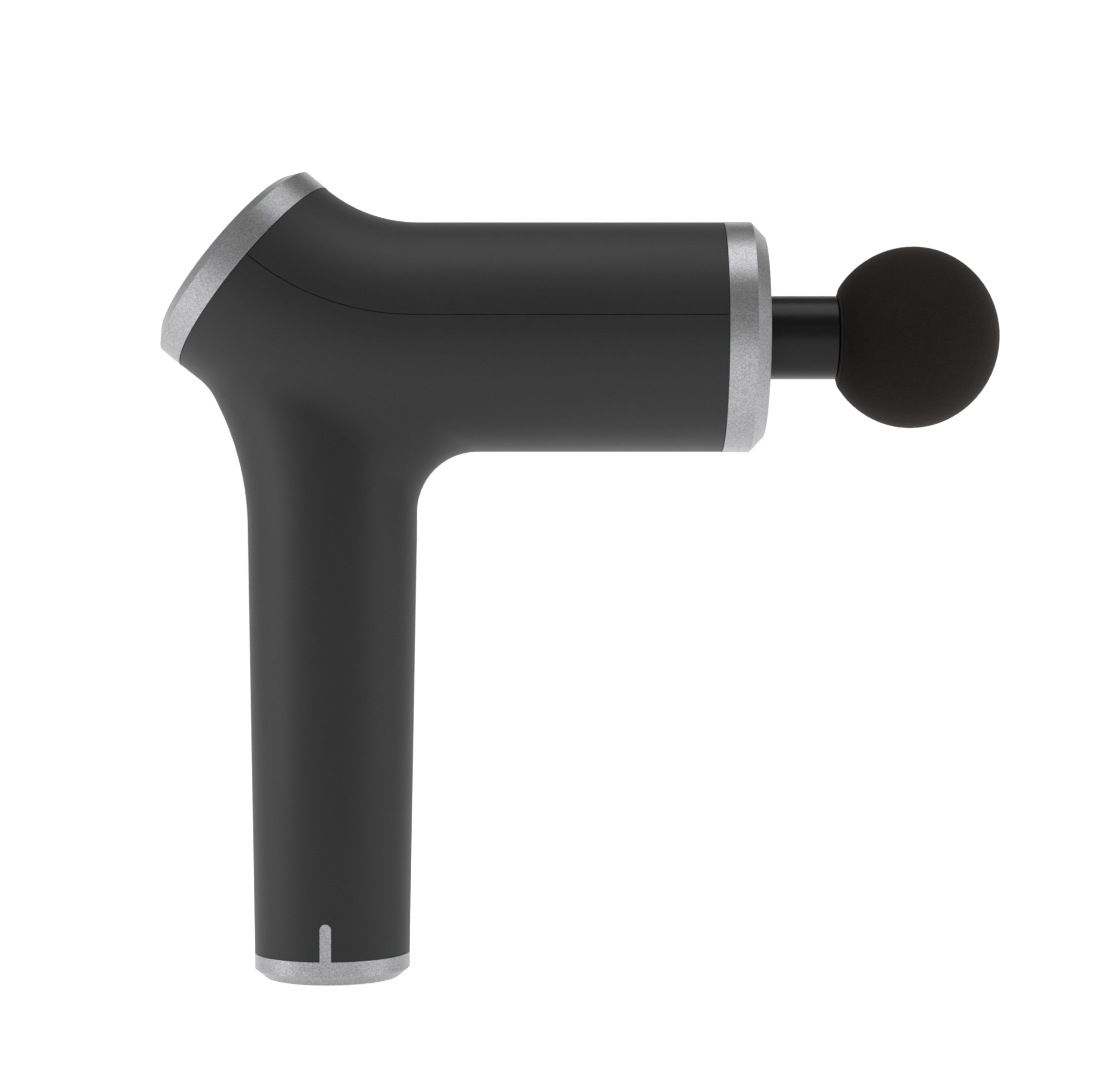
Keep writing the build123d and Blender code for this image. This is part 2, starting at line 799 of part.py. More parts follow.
with BuildPart() as base_plate:
    rods(Plane.XY.offset(foot_plate_z), [(0, 0)], FOOT_PLATE_R, FOOT_PLATE_T)
    rods(
        Plane.XY.offset(foot_plate_z),
        [(0, SOCKET_Y)],
        SOCKET_R + SOCKET_FIT,
        FOOT_PLATE_T,
        mode=Mode.SUBTRACT,
    )
    blocks(
        Plane.XY.offset(foot_plate_z),
        [(0, KNOB_Y)],
        KNOB_W + KNOB_TRAVEL + 2 * KNOB_FIT,
        KNOB_D + 2 * KNOB_FIT,
        FOOT_PLATE_T,
        mode=Mode.SUBTRACT,
    )
    rods(
        Plane.XY.offset(foot_plate_z),
        post_points,
        FOOT_SCREW_R,
        FOOT_PLATE_T,
        mode=Mode.SUBTRACT,
    )

with BuildPart() as base_screws:
    rods(
        Plane.XY.offset(foot_plate_z - FOOT_SCREW_HEAD_T),
        post_points,
        FOOT_SCREW_HEAD_R,
        FOOT_SCREW_HEAD_T,
    )
    rods(
        Plane.XY.offset(foot_plate_z),
        post_points,
        FOOT_SCREW_R,
        FOOT_SPIGOT_TOP_Z - foot_plate_z,
    )

with BuildPart() as charging_socket:
    rods(
        Plane.XY.offset(SOCKET_FACE_Z),
        [(0, SOCKET_Y)],
        SOCKET_R,
        FOOT_SPIGOT_TOP_Z - SOCKET_FACE_Z,
    )
    rods(
        Plane.XY.offset(SOCKET_FACE_Z),
        [(0, SOCKET_Y)],
        SOCKET_BORE_R,
        SOCKET_DEPTH,
        mode=Mode.SUBTRACT,
    )
    rods(
        Plane.XY.offset(SOCKET_FACE_Z + SOCKET_DEPTH - SOCKET_PIN_L),
        [(0, SOCKET_Y)],
        SOCKET_PIN_R,
        SOCKET_PIN_L,
    )

with BuildPart() as charge_board:
    rods(Plane.XY.offset(FOOT_SPIGOT_TOP_Z), [(0, 0)], CHARGE_BOARD_R, CHARGE_BOARD_T)
    rods(
        Plane.XY.offset(FOOT_SPIGOT_TOP_Z),
        post_points,
        POST_R + HOLDER_FIT,
        CHARGE_BOARD_T,
        mode=Mode.SUBTRACT,
    )
    blocks(
        Plane.XY.offset(charge_board_top_z),
        [(0, SOCKET_Y), (0, 0), (0, KNOB_Y)],
        *CHARGE_CHIP,
    )

with BuildPart() as switch_housing:
    blocks(
        Plane.XY.offset(FOOT_SEAT_Z),
        [(0, KNOB_Y)],
        *SWITCH_CASE,
        FOOT_SPIGOT_TOP_Z - FOOT_SEAT_Z,
    )
    blocks(
        Plane.XY.offset(FOOT_SEAT_Z),
        [(0, KNOB_Y)],
        KNOB_BASE[0] + KNOB_TRAVEL + 2 * KNOB_FIT,
        KNOB_BASE[1] + 2 * KNOB_FIT,
        SWITCH_CAVITY_H,
        mode=Mode.SUBTRACT,
    )

knob_x = -KNOB_TRAVEL / 2

with BuildPart() as switch_knob:
    blocks(
        Plane.XY.offset(KNOB_FACE_Z),
        [(knob_x, KNOB_Y)],
        KNOB_W,
        KNOB_D,
        FOOT_SEAT_Z + KNOB_FIT - KNOB_FACE_Z,
    )
    blocks(Plane.XY.offset(FOOT_SEAT_Z + KNOB_FIT), [(knob_x, KNOB_Y)], *KNOB_BASE)

# ---------------------------------------------------------------- battery
cell_points = around(2 * CELL_R / math.sqrt(3), 3, 0.0)
cell_start_z = HOLDER_Z + HOLDER_FLOOR + STRIP_T
cell_pitch = CELL_L + CELL_GAP
cell_room = mount_z - cell_start_z - STRIP_T - HOLDER_FLOOR
cell_layers = max(1, int((cell_room + CELL_GAP) // cell_pitch))
cell_top_z = cell_start_z + cell_layers * cell_pitch - CELL_GAP
notch_point = (LEAD_X - LEAD_NOTCH[0] / 2 + 2 * LEAD_R, sum(LEAD_YS) / 2)

with BuildPart() as battery_cells:
    for layer in range(cell_layers):
        rods(Plane.XY.offset(cell_start_z + layer * cell_pitch), cell_points, CELL_R, CELL_L)

with BuildPart() as cell_holder_bottom:
    rods(Plane.XY.offset(HOLDER_Z), [(0, 0)], HOLDER_R, HOLDER_FLOOR + HOLDER_CUP)
    rods(
        Plane.XY.offset(HOLDER_Z + HOLDER_FLOOR),
        cell_points,
        CELL_R + HOLDER_FIT,
        HOLDER_CUP,
        mode=Mode.SUBTRACT,
    )
    blocks(
        Plane.XY.offset(HOLDER_Z),
        [notch_point],
        *LEAD_NOTCH,
        HOLDER_FLOOR + HOLDER_CUP,
        mode=Mode.SUBTRACT,
    )
    rods(
        Plane.XY.offset(charge_board_top_z),
        post_points,
        POST_SHOULDER_R,
        HOLDER_Z - charge_board_top_z,
    )
    rods(
        Plane.XY.offset(FOOT_SEAT_Z), post_points, POST_R, charge_board_top_z - FOOT_SEAT_Z
    )
    rods(
        Plane.XY.offset(FOOT_SEAT_Z),
        post_points,
        FOOT_SCREW_R,
        FOOT_SPIGOT_TOP_Z - FOOT_SEAT_Z,
        mode=Mode.SUBTRACT,
    )

with BuildPart() as cell_holder_middle:
    for layer in range(cell_layers - 1):
        web_z = cell_start_z + (layer + 1) * cell_pitch - CELL_GAP
        cup_h = (HOLDER_BAND - CELL_GAP) / 2
        rods(Plane.XY.offset(web_z - cup_h), [(0, 0)], HOLDER_R, HOLDER_BAND)
        for cup_z in (web_z - cup_h, web_z + CELL_GAP):
            rods(
                Plane.XY.offset(cup_z),
                cell_points,
                CELL_R + HOLDER_FIT,
                cup_h,
                mode=Mode.SUBTRACT,
            )
        rods(Plane.XY.offset(web_z), cell_points, STRIP_R, CELL_GAP, mode=Mode.SUBTRACT)
        blocks(
            Plane.XY.offset(web_z - cup_h),
            [notch_point],
            *LEAD_NOTCH,
            HOLDER_BAND,
            mode=Mode.SUBTRACT,
        )

with BuildPart() as cell_holder_top:
    rods(
        Plane.XY.offset(cell_top_z + STRIP_T - HOLDER_CUP),
        [(0, 0)],
        HOLDER_R,
        HOLDER_FLOOR + HOLDER_CUP,
    )
    rods(
        Plane.XY.offset(cell_top_z + STRIP_T - HOLDER_CUP),
        cell_points,
        CELL_R + HOLDER_FIT,
        HOLDER_CUP,
        mode=Mode.SUBTRACT,
    )
    blocks(
        Plane.XY.offset(cell_top_z + STRIP_T - HOLDER_CUP),
        [notch_point],
        *LEAD_NOTCH,
        HOLDER_FLOOR + HOLDER_CUP,
        mode=Mode.SUBTRACT,
    )
    rods(
        Plane.XY.offset(cell_top_z + STRIP_T - HOLDER_CUP),
        lug_points,
        LUG_R + HOLDER_LUG_GAP,
        HOLDER_FLOOR + HOLDER_CUP,
        mode=Mode.SUBTRACT,
    )

with BuildPart() as nickel_strips:
    rods(Plane.XY.offset(cell_start_z - STRIP_T), cell_points, STRIP_R, STRIP_T)
    rods(Plane.XY.offset(cell_top_z), cell_points, STRIP_R, STRIP_T)
    for layer in range(cell_layers - 1):
        strip_z = cell_start_z + (layer + 1) * cell_pitch - CELL_GAP
        rods(Plane.XY.offset(strip_z), cell_points, STRIP_R, CELL_GAP)

# ---------------------------------------------------------------- motor
stator_z = mount_top_z + STATOR_SHOULDER_H
bell_z = mount_top_z + BELL_GAP
bell_r = STATOR_R + AIR_GAP + MAGNET_T + BELL_T
bell_inner_r = bell_r - BELL_T
bell_top_z = bell_z + BELL_H
bearing_zs = (mount_z + BEARING_INSET, mount_top_z + TUBE_H - BEARING_T)
tube_h = MOUNT_T + TUBE_H
groove_ys = (MOTOR_LEAD_YS[0] - GROOVE_SIDE, MOTOR_LEAD_YS[-1] + GROOVE_SIDE)
groove_d = 2 * GROOVE_SIDE
tooth_mid_r = (STATOR_HUB_R + STATOR_R - STATOR_SHOE_T) / 2
tooth_l = STATOR_R - STATOR_SHOE_T - STATOR_HUB_R
winding_half = TOOTH_W / 2 + WINDING_T

with BuildPart() as motor_mount:
    rods(Plane.XY.offset(mount_z), [(0, 0)], MOUNT_R, MOUNT_T)
    rods(Plane.XY.offset(mount_top_z), [(0, 0)], TUBE_R, TUBE_H)
    rods(Plane.XY.offset(mount_top_z), [(0, 0)], STATOR_SHOULDER_R, STATOR_SHOULDER_H)
    rods(Plane.XY.offset(mount_z), [(0, 0)], BEARING_R, tube_h, mode=Mode.SUBTRACT)
    rods(
        Plane.XY.offset(mount_z), lug_points, MOUNT_SCREW_R, MOUNT_T, mode=Mode.SUBTRACT
    )
    rods(
        Plane.XY.offset(mount_top_z - MOUNT_SCREW_HEAD_T - RING_GAP),
        lug_points,
        MOUNT_SCREW_HEAD_R + HOLDER_FIT,
        MOUNT_SCREW_HEAD_T + RING_GAP,
        mode=Mode.SUBTRACT,
    )
    blocks(
        Plane.XY.offset(mount_top_z - groove_d),
        [(MOTOR_LEAD_START_X + GROOVE_SIDE - MOUNT_R / 2, sum(groove_ys) / 2)],
        MOUNT_R,
        groove_ys[1] - groove_ys[0],
        groove_d,
        mode=Mode.SUBTRACT,
    )

with BuildPart() as mount_screws:
    rods(
        Plane.XY.offset(mount_z - MOUNT_SCREW_L),
        lug_points,
        MOUNT_SCREW_R,
        MOUNT_SCREW_L + MOUNT_T - MOUNT_SCREW_HEAD_T - RING_GAP,
    )
    rods(
        Plane.XY.offset(mount_top_z - MOUNT_SCREW_HEAD_T - RING_GAP),
        lug_points,
        MOUNT_SCREW_HEAD_R,
        MOUNT_SCREW_HEAD_T,
    )

with BuildPart() as motor_bearings:
    for z in bearing_zs:
        rods(Plane.XY.offset(z), [(0, 0)], BEARING_R, BEARING_T)
        rods(
            Plane.XY.offset(z),
            [(0, 0)],
            SHAFT_R + BEARING_FIT,
            BEARING_T,
            mode=Mode.SUBTRACT,
        )

with BuildPart() as stator_core:
    with BuildSketch(Plane.XY.offset(stator_z)):
        Circle(STATOR_HUB_R)
        with PolarLocations(tooth_mid_r, TOOTH_COUNT):
            Rectangle(tooth_l + 1, TOOTH_W)
        with PolarLocations(STATOR_R - STATOR_SHOE_T / 2, TOOTH_COUNT):
            Rectangle(STATOR_SHOE_T, SHOE_W)
        Circle(STATOR_R, mode=Mode.INTERSECT)
        Circle(TUBE_R, mode=Mode.SUBTRACT)
    extrude(amount=STATOR_T)

with BuildPart() as stator_windings:
    with BuildSketch(Plane.XY.offset(stator_z - WINDING_T)):
        with PolarLocations(tooth_mid_r + RING_GAP, TOOTH_COUNT):
            Rectangle(tooth_l - 3 * RING_GAP, 2 * winding_half)
    extrude(amount=STATOR_T + 2 * WINDING_T)
    with BuildSketch(Plane.XY.offset(stator_z)):
        with PolarLocations(tooth_mid_r, TOOTH_COUNT):
            Rectangle(2 * tooth_l, TOOTH_W)
    extrude(amount=STATOR_T, mode=Mode.SUBTRACT)

with BuildPart() as rotor_bell:
    rods(Plane.XY.offset(bell_z), [(0, 0)], bell_r, BELL_H)
    rods(
        Plane.XY.offset(bell_z),
        [(0, 0)],
        bell_inner_r,
        BELL_H - BELL_ROOF_T,
        mode=Mode.SUBTRACT,
    )
    rods(
        Plane.XY.offset(bell_top_z - BELL_ROOF_T),
        around(BELL_VENT_RING_R, BELL_VENT_COUNT),
        BELL_VENT_R,
        BELL_ROOF_T,
        mode=Mode.SUBTRACT,
    )
    rods(Plane.XY.offset(bell_top_z), [(0, 0)], BELL_HUB_R, CRANK_GAP)
    rods(
        Plane.XY.offset(bell_top_z - BELL_ROOF_T),
        [(0, 0)],
        SHAFT_R,
        BELL_ROOF_T + CRANK_GAP,
        mode=Mode.SUBTRACT,
    )
    chamfer(
        rotor_bell.faces().filter_by(Axis.Z).sort_by(SortBy.AREA)[-1].outer_wire().edges(),
        BELL_T / 2,
    )

with BuildPart() as rotor_magnets:
    with BuildSketch(Plane.XY.offset(bell_z + RING_GAP)):
        with PolarLocations(bell_inner_r - MAGNET_T / 2, MAGNET_COUNT):
            Rectangle(2 * MAGNET_T, MAGNET_W)
        Circle(bell_inner_r, mode=Mode.INTERSECT)
        Circle(bell_inner_r - MAGNET_T, mode=Mode.SUBTRACT)
    extrude(amount=MAGNET_H)

crank_z = bell_top_z + CRANK_GAP
crank_top_z = crank_z + CRANK_T

with BuildPart() as motor_shaft:
    rods(
        Plane.XY.offset(mount_z + RING_GAP),
        [(0, 0)],
        SHAFT_R,
        crank_top_z - mount_z - RING_GAP,
    )

# ---------------------------------------------------------------- crank and yoke
pin_point = (0, -CRANK_THROW)
roller_z = crank_top_z + PIN_SHOULDER_T + ROLLER_END_GAP
clip_z = roller_z + ROLLER_T + ROLLER_END_GAP
coupling_error = CRANK_THROW * COUPLING_ERROR_SHARE
slot_half_x = ROLLER_R + coupling_error + YOKE_SIDE_GAP
slot_half_y = CRANK_THROW + ROLLER_R + YOKE_END_GAP
yoke_z = BARREL_Z - YOKE_T / 2
yoke_front_x = slot_half_x + YOKE_SIDE

with BuildPart() as crank_disc:
    rods(Plane.XY.offset(crank_z), [(0, 0)], CRANK_R, CRANK_T)
    rods(Plane.XY.offset(crank_z), [(0, 0)], SHAFT_R, CRANK_T, mode=Mode.SUBTRACT)
    rods(Plane.XY.offset(crank_z), [pin_point], PIN_R, CRANK_T, mode=Mode.SUBTRACT)
    rods(
        Plane.XY.offset(crank_z),
        [(-CRANK_WINDOW_X, -CRANK_THROW), (CRANK_WINDOW_X, -CRANK_THROW)],
        CRANK_WINDOW_R,
        CRANK_T,
        mode=Mode.SUBTRACT,
    )

with BuildPart() as crank_pin:
    rods(Plane.XY.offset(crank_z), [pin_point], PIN_R, clip_z + CLIP_T + PIN_END - crank_z)
    rods(Plane.XY.offset(crank_top_z), [pin_point], PIN_SHOULDER_R, PIN_SHOULDER_T)

with BuildPart() as crank_roller:
    rods(Plane.XY.offset(roller_z), [pin_point], ROLLER_R, ROLLER_T)
    rods(
        Plane.XY.offset(roller_z),
        [pin_point],
        PIN_R + ROLLER_FIT,
        ROLLER_T,
        mode=Mode.SUBTRACT,
    )

with BuildPart() as crank_clip:
    rods(Plane.XY.offset(clip_z), [pin_point], CLIP_R, CLIP_T)
    rods(Plane.XY.offset(clip_z), [pin_point], PIN_R, CLIP_T, mode=Mode.SUBTRACT)

with BuildPart() as yoke:
    with BuildSketch(Plane.XY.offset(yoke_z)):
        RectangleRounded(
            2 * yoke_front_x, 2 * (slot_half_y + YOKE_END), YOKE_CORNER_R
        )
        RectangleRounded(2 * slot_half_x, 2 * slot_half_y, YOKE_CORNER_R, mode=Mode.SUBTRACT)
    extrude(amount=YOKE_T)

# ---------------------------------------------------------------- guides and plunger
rod_bush_r = ROD_R + RUNNING_FIT + BUSH_T
front_bush_r = SLEEVE_R + RUNNING_FIT + BUSH_T
tie_points = around(TIE_RING_R, TIE_COUNT, TIE_START)
window_points = around(TIE_RING_R, TIE_COUNT, TIE_START + 60.0)
damper_r = BARREL_R - WALL - DAMPER_FIT
damper_groove_r = BLOCK_R - DAMPER_GROOVE
sleeve_front_x = nose_face_x + SLEEVE_SHOW
rod_end_x = SLEEVE_BACK_X + SLEEVE_SEAT


def guide_block(start, length, bore_r, screw_bite):
    """A round block with a groove for its rubber ring, a bush bore and tie rod holes."""
    middle = start + length / 2
    with BuildPart() as block:
        rods(BARREL.offset(start), [(0, 0)], BLOCK_R, length)
        turn(
            BARREL_SECTION,
            BARREL_AXIS,
            [
                (middle - DAMPER_W / 2, damper_groove_r),
                (middle + DAMPER_W / 2, damper_groove_r),
                (middle + DAMPER_W / 2, BLOCK_R + 1),
                (middle - DAMPER_W / 2, BLOCK_R + 1),
            ],
            mode=Mode.SUBTRACT,
        )
        rods(BARREL.offset(start), [(0, 0)], bore_r, length, mode=Mode.SUBTRACT)
        rods(BARREL.offset(start), tie_points, TIE_R, length, mode=Mode.SUBTRACT)
        if screw_bite > 0:
            rods(
                BARREL.offset(start + length - screw_bite),
                nose_screw_points,
                NOSE_SCREW_R,
                screw_bite,
                mode=Mode.SUBTRACT,
            )
        else:
            rods(
                BARREL.offset(start),
                window_points,
                BLOCK_WINDOW_R,
                length,
                mode=Mode.SUBTRACT,
            )
    return block.part


mid_block_solid = guide_block(MID_BLOCK_X, MID_BLOCK_T, rod_bush_r, 0.0)
front_block_solid = guide_block(
    front_block_x, FRONT_BLOCK_T, front_bush_r, NOSE_SCREW_BITE
)

with BuildPart() as mid_block:
    add(mid_block_solid)

with BuildPart() as front_block:
    add(front_block_solid)

with BuildPart() as damper_rings:
    for middle in (MID_BLOCK_X + MID_BLOCK_T / 2, front_block_x + FRONT_BLOCK_T / 2):
        turn(
            BARREL_SECTION,
            BARREL_AXIS,
            [
                (middle - DAMPER_W / 2, damper_groove_r),
                (middle + DAMPER_W / 2, damper_groove_r),
                (middle + DAMPER_W / 2, damper_r - DAMPER_CHAMFER),
                (middle + DAMPER_W / 2 - DAMPER_CHAMFER, damper_r),
                (middle - DAMPER_W / 2 + DAMPER_CHAMFER, damper_r),
                (middle - DAMPER_W / 2, damper_r - DAMPER_CHAMFER),
            ],
        )

with BuildPart() as tie_rods:
    rods(
        BARREL.offset(MID_BLOCK_X - NUT_T),
        tie_points,
        TIE_R,
        front_block_end_x + NUT_T - MID_BLOCK_X + NUT_T,
    )

with BuildPart() as tie_nuts:
    for x in (MID_BLOCK_X - NUT_T, front_block_end_x):
        with BuildSketch(BARREL.offset(x)):
            with Locations(*tie_points):
                RegularPolygon(NUT_R, 6)
                Circle(TIE_R, mode=Mode.SUBTRACT)
        extrude(amount=NUT_T)

with BuildPart() as rod_bush:
    rods(
        BARREL.offset(MID_BLOCK_X - ROD_BUSH_OVERHANG),
        [(0, 0)],
        rod_bush_r,
        MID_BLOCK_T + 2 * ROD_BUSH_OVERHANG,
    )
    rods(
        BARREL.offset(MID_BLOCK_X - ROD_BUSH_OVERHANG),
        [(0, 0)],
        ROD_R + RUNNING_FIT,
        MID_BLOCK_T + 2 * ROD_BUSH_OVERHANG,
        mode=Mode.SUBTRACT,
    )

front_bush_x = front_block_x - FRONT_BUSH_BACK
front_bush_l = FRONT_BUSH_BACK + FRONT_BLOCK_T + FRONT_BUSH_OVERHANG

with BuildPart() as front_bush:
    rods(BARREL.offset(front_bush_x), [(0, 0)], front_bush_r, front_bush_l)
    rods(
        BARREL.offset(front_block_end_x), [(0, 0)], front_bush_r + BUSH_FLANGE, BUSH_FLANGE
    )
    rods(
        BARREL.offset(front_bush_x),
        [(0, 0)],
        SLEEVE_R + RUNNING_FIT,
        front_bush_l,
        mode=Mode.SUBTRACT,
    )

with BuildPart() as piston_rod:
    rods(BARREL.offset(yoke_front_x), [(0, 0)], ROD_R, rod_end_x - yoke_front_x)

with BuildPart() as head_socket:
    rods(BARREL.offset(SLEEVE_BACK_X), [(0, 0)], SLEEVE_R, sleeve_front_x - SLEEVE_BACK_X)
    rods(BARREL.offset(SLEEVE_BACK_X), [(0, 0)], ROD_R, SLEEVE_SEAT, mode=Mode.SUBTRACT)
    rods(
        BARREL.offset(sleeve_front_x - HEAD_BORE_L),
        [(0, 0)],
        HEAD_BORE_R,
        HEAD_BORE_L,
        mode=Mode.SUBTRACT,
    )
    chamfer(
        head_socket.faces().sort_by(Axis.X)[-1].outer_wire().edges(), SLEEVE_CHAMFER
    )

# ---------------------------------------------------------------- massage head
stem_r = HEAD_BORE_R - RUNNING_FIT
stem_x = sleeve_front_x - STEM_L
ball_x = sleeve_front_x + BALL_CENTRE_OUT
ball_back_x = sleeve_front_x + BALL_GAP
stem_head_x = sleeve_front_x + STEM_HEAD_OUT
groove_r = stem_r - O_RING_DEPTH

with BuildPart() as head_stem:
    rods(BARREL.offset(stem_x), [(0, 0)], stem_r, stem_head_x - stem_x)
    rods(BARREL.offset(stem_head_x), [(0, 0)], STEM_HEAD_R, STEM_HEAD_T)
    for at in O_RING_AT:
        x = stem_x + at
        turn(
            BARREL_SECTION,
            BARREL_AXIS,
            [
                (x - O_RING_R, groove_r),
                (x + O_RING_R, groove_r),
                (x + O_RING_R, stem_r + 1),
                (x - O_RING_R, stem_r + 1),
            ],
            mode=Mode.SUBTRACT,
        )
    chamfer(head_stem.faces().sort_by(Axis.X)[0].edges(), STEM_CHAMFER)

with BuildPart() as stem_o_rings:
    for at in O_RING_AT:
        x = stem_x + at
        turn(
            BARREL_SECTION,
            BARREL_AXIS,
            [
                (x - O_RING_R, groove_r),
                (x + O_RING_R, groove_r),
                (x + O_RING_R, stem_r - O_RING_R / 2),
                (x + O_RING_R / 2, stem_r),
                (x - O_RING_R / 2, stem_r),
                (x - O_RING_R, stem_r - O_RING_R / 2),
            ],
        )

squashed_ball = scale(Sphere(BALL_R), by=(1, 1, BALL_AXIAL_R / BALL_R))

with BuildPart() as massage_ball:
    add(BARREL.offset(ball_x) * squashed_ball)
    rods(BARREL.offset(ball_back_x - BALL_R), [(0, 0)], BALL_R, BALL_R, mode=Mode.SUBTRACT)
    rods(
        BARREL.offset(ball_back_x),
        [(0, 0)],
        stem_r,
        stem_head_x - ball_back_x,
        mode=Mode.SUBTRACT,
    )
    rods(
        BARREL.offset(stem_head_x), [(0, 0)], STEM_HEAD_R, STEM_HEAD_T, mode=Mode.SUBTRACT
    )

# ---------------------------------------------------------------- leads
board_back = Vector(neck_x, 0, neck_z) + neck_dir * CONTROLLER_S + neck_up * LEAD_BOARD_T
board_run = board_back - neck_dir * LEAD_STRAIGHT
behind_mount_x = -MOUNT_R - LEAD_OFF_MOUNT
behind_bell_x = behind_mount_x - LEAD_R


def lead(points, y, radius):
    """One wire along straight runs with rounded turns, in a plane at the given y."""
    plane = Plane.XZ.offset(-y)
    with BuildPart() as wire:
        with BuildLine(plane) as path:
            FilletPolyline(*points, radius=LEAD_BEND_R)
        with BuildSketch(Plane(path.line @ 0, z_dir=path.line % 0)):
            Circle(radius)
        sweep(path=path.line)
    return wire.part


lead_end = [(board_run.X, board_run.Z), (board_back.X, board_back.Z)]
battery_route = [
    (LEAD_X, charge_board_top_z),
    (LEAD_X, mount_z - 2 * LUG_H),
    (behind_mount_x, mount_z),
    (behind_bell_x, bell_z + BELL_H / 3),
] + lead_end
motor_lead_z = mount_top_z - GROOVE_SIDE
motor_route = [
    (MOTOR_LEAD_START_X, motor_lead_z),
    (behind_mount_x, motor_lead_z),
    (behind_bell_x, bell_z + BELL_H / 2),
] + lead_end

battery_wires = [lead(battery_route, y, LEAD_R) for y in LEAD_YS]
motor_wires = [lead(motor_route, y, MOTOR_LEAD_R) for y in MOTOR_LEAD_YS]

with BuildPart() as battery_leads:
    for wire in battery_wires:
        add(wire)

with BuildPart() as motor_leads:
    for wire in motor_wires:
        add(wire)

# ---------------------------------------------------------------- named files
PIECES = {
    "lower_housing": lower_housing,
    "upper_housing": upper_housing,
    "front_ring": front_ring,
    "nose_plate": nose_plate,
    "nose_screws": nose_screws,
    "shaft_wiper": shaft_wiper,
    "rear_ring": rear_ring,
    "control_panel": control_panel,
    "panel_lights": panel_lights,
    "power_button": power_button,
    "button_board": button_board,
    "board_screws": board_screws,
    "tact_switch": tact_switch,
    "controller_board": controller_board,
    "board_standoffs": board_standoffs,
    "power_transistors": power_transistors,
    "filter_capacitors": filter_capacitors,
    "board_connectors": board_connectors,
    "base_ring": base_ring,
    "base_plate": base_plate,
    "base_screws": base_screws,
    "charging_socket": charging_socket,
    "charge_board": charge_board,
    "switch_housing": switch_housing,
    "switch_knob": switch_knob,
    "battery_cells": battery_cells,
    "cell_holder_bottom": cell_holder_bottom,
    "cell_holder_middle": cell_holder_middle,
    "cell_holder_top": cell_holder_top,
    "nickel_strips": nickel_strips,
    "motor_mount": motor_mount,
    "mount_screws": mount_screws,
    "motor_bearings": motor_bearings,
    "stator_core": stator_core,
    "stator_windings": stator_windings,
    "rotor_bell": rotor_bell,
    "rotor_magnets": rotor_magnets,
    "motor_shaft": motor_shaft,
    "crank_disc": crank_disc,
    "crank_pin": crank_pin,
    "crank_roller": crank_roller,
    "crank_clip": crank_clip,
    "yoke": yoke,
    "mid_block": mid_block,
    "front_block": front_block,
    "damper_rings": damper_rings,
    "tie_rods": tie_rods,
    "tie_nuts": tie_nuts,
    "rod_bush": rod_bush,
    "front_bush": front_bush,
    "piston_rod": piston_rod,
    "head_socket": head_socket,
    "head_stem": head_stem,
    "stem_o_rings": stem_o_rings,
    "massage_ball": massage_ball,
    "battery_leads": battery_leads,
    "motor_leads": motor_leads,
}

os.makedirs("parts", exist_ok=True)
for name, piece in PIECES.items():
    piece.part.label = name
    export_step(piece.part, f"parts/{name}.step")
    print(f"{name}: {len(piece.part.solids())} solids, {piece.part.volume:.0f} mm3")
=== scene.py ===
# %% [markdown]
# # A massage gun, finished
# The machine-made shape of this gun comes from a CAD frame: every shell, ring, screw
# and gear-side part already sits where it belongs, in metres. What is left for this
# notebook is what a maker's hands and the light do: soft-touch paint, metal-flake
# rings, a velvety foam ball, and a small studio around it. First comes the frame.

# %% Load the frame
import math

import bpy
import numpy as np
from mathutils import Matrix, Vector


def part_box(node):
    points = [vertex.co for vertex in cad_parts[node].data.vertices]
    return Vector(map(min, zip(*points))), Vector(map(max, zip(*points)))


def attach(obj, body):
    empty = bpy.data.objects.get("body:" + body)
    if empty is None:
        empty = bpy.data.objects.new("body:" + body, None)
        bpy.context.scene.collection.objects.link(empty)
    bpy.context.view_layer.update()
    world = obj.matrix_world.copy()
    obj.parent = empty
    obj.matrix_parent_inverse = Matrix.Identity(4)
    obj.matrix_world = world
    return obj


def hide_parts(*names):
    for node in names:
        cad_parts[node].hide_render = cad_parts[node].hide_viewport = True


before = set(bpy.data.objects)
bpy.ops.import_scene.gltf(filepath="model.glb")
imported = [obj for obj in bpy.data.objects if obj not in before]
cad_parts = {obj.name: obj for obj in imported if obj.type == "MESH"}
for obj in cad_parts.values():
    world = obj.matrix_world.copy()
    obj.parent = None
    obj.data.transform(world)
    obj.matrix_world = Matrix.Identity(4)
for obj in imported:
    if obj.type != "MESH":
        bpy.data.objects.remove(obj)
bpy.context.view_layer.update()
MM = 0.001

# %% [markdown]
# ## Places worth knowing
# New pieces take their places from the boxes of the frame's own parts. The barrel's
# axis runs along X through the middle of the sleeve, and the ball's box gives its
# radius, its flat back and its tip.

# %% Read places from the frame
def low_high(node):
    """Lowest and highest corner of a part as two arrays."""
    low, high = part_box(node)
    return np.array(low, dtype=float), np.array(high, dtype=float)


SLEEVE_LOW, SLEEVE_HIGH = low_high("head_socket")
BALL_LOW, BALL_HIGH = low_high("massage_ball")
AXIS_Z = (SLEEVE_LOW[2] + SLEEVE_HIGH[2]) / 2
BALL_R = (BALL_HIGH[2] - BALL_LOW[2]) / 2
print("barrel axis height", round(AXIS_Z, 4), "ball radius", round(BALL_R, 4))

# %% [markdown]
# ## A shelf of node tools
# A finished surface needs more than one colour. Each material here starts from the
# same few moves: read Object coordinates, break the colour up with noise, let the
# roughness wander a little, and raise a fine bump. These helpers keep that short.

# %% Node helpers
def new_material(name):
    """An empty node material with a shader and its output, ready to be wired."""
    material = bpy.data.materials.new(name)
    material.use_nodes = True
    tree = material.node_tree
    tree.nodes.clear()
    shader = tree.nodes.new("ShaderNodeBsdfPrincipled")
    output = tree.nodes.new("ShaderNodeOutputMaterial")
    tree.links.new(shader.outputs["BSDF"], output.inputs["Surface"])
    return material, tree, shader


